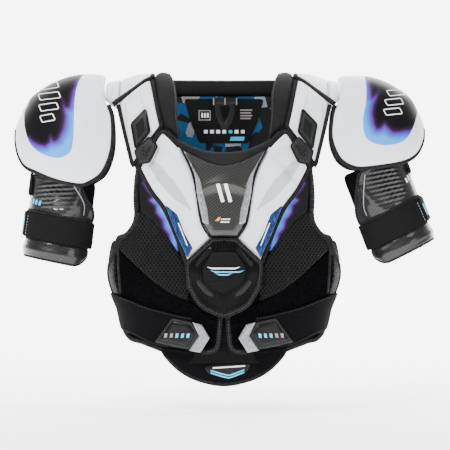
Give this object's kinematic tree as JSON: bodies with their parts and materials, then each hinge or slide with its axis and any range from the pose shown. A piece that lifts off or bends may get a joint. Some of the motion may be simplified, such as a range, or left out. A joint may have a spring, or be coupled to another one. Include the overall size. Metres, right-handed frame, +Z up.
{
  "type": "ice hockey shoulder pads",
  "caption": "Padded hockey shoulder protector with chest and back panels, shoulder caps, upper-arm guards, waist straps, belly guard and extension pad.",
  "frame": {"origin": "middle of the neck opening, level with the underside of the shoulder straps, where the wearer's shoulders carry the part", "axes": "+Z up; the wearer looks along -Y; +X is the wearer's left"},
  "size_m": [0.6168, 0.267, 0.4495],
  "materials": {
    "navy_lining": "brushed knit lining",
    "black_knit": "matte knit",
    "black_shell": "satin moulded",
    "carbon_shell": "clear over a woven pattern",
    "white_foam": "soft matte coated foam",
    "charcoal_padding": "padded brushed fabric",
    "grey_tab": "matte moulded",
    "silver_trim": "metallic film",
    "blue_foil": "metallic film",
    "flame_print": "printed film",
    "black_mesh": "open hexagonal knit",
    "loop_pile": "brushed loop pile",
    "elastic": "woven elastic webbing"
  },
  "bodies": {
    "shoulder_harness": {"back_lining": "navy_lining", "upper_back_lining": "navy_lining", "back_plate": "black_shell", "spine_guard": "black_shell", "scapula_pads": "white_foam", "kidney_pads": "black_knit", "back_label_plate": "black_shell", "back_collar_band": "charcoal_padding", "right_collar_band": "charcoal_padding", "left_collar_band": "charcoal_padding", "right_shoulder_yoke": "white_foam", "left_shoulder_yoke": "white_foam", "right_shoulder_bridge": "white_foam", "left_shoulder_bridge": "white_foam", "strap_back_ends": "elastic", "hang_loop_base": "elastic"},
    "front_panel": {"front_lining": "black_knit", "front_collar_lip": "charcoal_padding", "right_chest_plate": "white_foam", "left_chest_plate": "white_foam", "sternum_shell": "black_shell", "sternum_flanks": "silver_trim", "foil_inserts": "blue_foil", "right_flame_panel": "flame_print", "left_flame_panel": "flame_print", "right_mesh_panel": "black_mesh", "left_mesh_panel": "black_mesh", "right_loop_panel": "loop_pile", "left_loop_panel": "loop_pile", "right_side_wing": "black_mesh", "left_side_wing": "black_mesh", "chest_anchor_tabs": "grey_tab"},
    "belly_guard": {"belly_shield": "black_shell", "belly_shield_ridge": "black_shell"},
    "extension": {"extension_pad": "black_knit", "extension_label": "black_shell"},
    "hang_loop": {"hang_loop": "elastic"},
    "right_waist_strap": {"right_waist_strap": "elastic", "right_strap_tab": "grey_tab", "right_strap_chevron": "silver_trim"},
    "right_cap": {"right_shoulder_cap": "white_foam", "right_cap_lining": "navy_lining"},
    "right_arm_link": {"right_arm_link": "elastic"},
    "right_arm": {"right_arm_lining": "black_knit", "right_arm_guard": "carbon_shell", "right_arm_cuff": "carbon_shell"},
    "right_cuff_strap": {"right_arm_strap": "elastic"},
    "right_adjuster": {"right_adjuster_tab": "grey_tab"},
    "left_waist_strap": {"left_waist_strap": "elastic", "left_strap_tab": "grey_tab", "left_strap_chevron": "silver_trim"},
    "left_cap": {"left_shoulder_cap": "white_foam", "left_cap_lining": "navy_lining"},
    "left_arm_link": {"left_arm_link": "elastic"},
    "left_arm": {"left_arm_lining": "black_knit", "left_arm_guard": "carbon_shell", "left_arm_cuff": "carbon_shell"},
    "left_cuff_strap": {"left_arm_strap": "elastic"},
    "left_adjuster": {"left_adjuster_tab": "grey_tab"}
  },
  "joints": [
    {"name": "front_flap", "type": "hinge", "parent": "shoulder_harness", "child": "front_panel", "pos_m": [0, -0.132, -0.064], "axis": [-1, 0, 0], "range_deg": [0, 40]},
    {"name": "belly_guard_lift", "type": "hinge", "parent": "front_panel", "child": "belly_guard", "pos_m": [0, -0.1325, -0.2225], "axis": [-1, 0, 0], "range_deg": [0, 25]},
    {"name": "extension_slide", "type": "slide", "parent": "front_panel", "child": "extension", "axis": [0, 0, 1], "range_m": [0, 0.03]},
    {"name": "hang_loop_swing", "type": "hinge", "parent": "shoulder_harness", "child": "hang_loop", "pos_m": [0.0015, 0.063, -0.027], "axis": [-1, 0, 0], "range_deg": [-20, 70]},
    {"name": "right_strap_open", "type": "hinge", "parent": "front_panel", "child": "right_waist_strap", "pos_m": [-0.1678, -0.001, -0.326], "axis": [0, 0, -1], "range_deg": [0, 100]},
    {"name": "right_cap_lift", "type": "hinge", "parent": "shoulder_harness", "child": "right_cap", "pos_m": [-0.171, 0, 0.017], "axis": [0, 1, 0], "range_deg": [0, 50]},
    {"name": "right_arm_swing", "type": "hinge", "parent": "right_cap", "child": "right_arm_link", "pos_m": [-0.24926, 0, -0.06635], "axis": [0, 1, 0], "range_deg": [-8, 3]},
    {"name": "right_arm_flex", "type": "hinge", "parent": "right_arm_link", "child": "right_arm", "pos_m": [-0.23058, 0, -0.15629], "axis": [0.9925, 0, -0.1219], "range_deg": [-12, 12]},
    {"name": "right_cuff_strap_open", "type": "hinge", "parent": "right_arm", "child": "right_cuff_strap", "pos_m": [-0.19262, -0.0315, -0.21637], "axis": [0.1219, 0, 0.9925], "range_deg": [0, 80]},
    {"name": "right_adjuster_peel", "type": "hinge", "parent": "shoulder_harness", "child": "right_adjuster", "pos_m": [-0.1217, -0.1105, -0.0488], "axis": [-0.6548, -0.3102, -0.6892], "range_deg": [0, 70]},
    {"name": "left_strap_open", "type": "hinge", "parent": "front_panel", "child": "left_waist_strap", "pos_m": [0.1678, -0.001, -0.326], "axis": [0, 0, 1], "range_deg": [0, 100]},
    {"name": "left_cap_lift", "type": "hinge", "parent": "shoulder_harness", "child": "left_cap", "pos_m": [0.165, 0, 0.017], "axis": [0, -1, 0], "range_deg": [0, 50]},
    {"name": "left_arm_swing", "type": "hinge", "parent": "left_cap", "child": "left_arm_link", "pos_m": [0.22141, 0, -0.0589], "axis": [0, -1, 0], "range_deg": [-8, 3]},
    {"name": "left_arm_flex", "type": "hinge", "parent": "left_arm_link", "child": "left_arm", "pos_m": [0.22504, 0, -0.15069], "axis": [0.9336, 0, 0.3584], "range_deg": [-12, 12]},
    {"name": "left_cuff_strap_open", "type": "hinge", "parent": "left_arm", "child": "left_cuff_strap", "pos_m": [0.20274, -0.0315, -0.21816], "axis": [0.3584, 0, -0.9336], "range_deg": [0, 80]},
    {"name": "left_adjuster_peel", "type": "hinge", "parent": "shoulder_harness", "child": "left_adjuster", "pos_m": [0.1217, -0.1105, -0.0488], "axis": [-0.6548, 0.3102, 0.6892], "range_deg": [0, 70]}
  ]
}
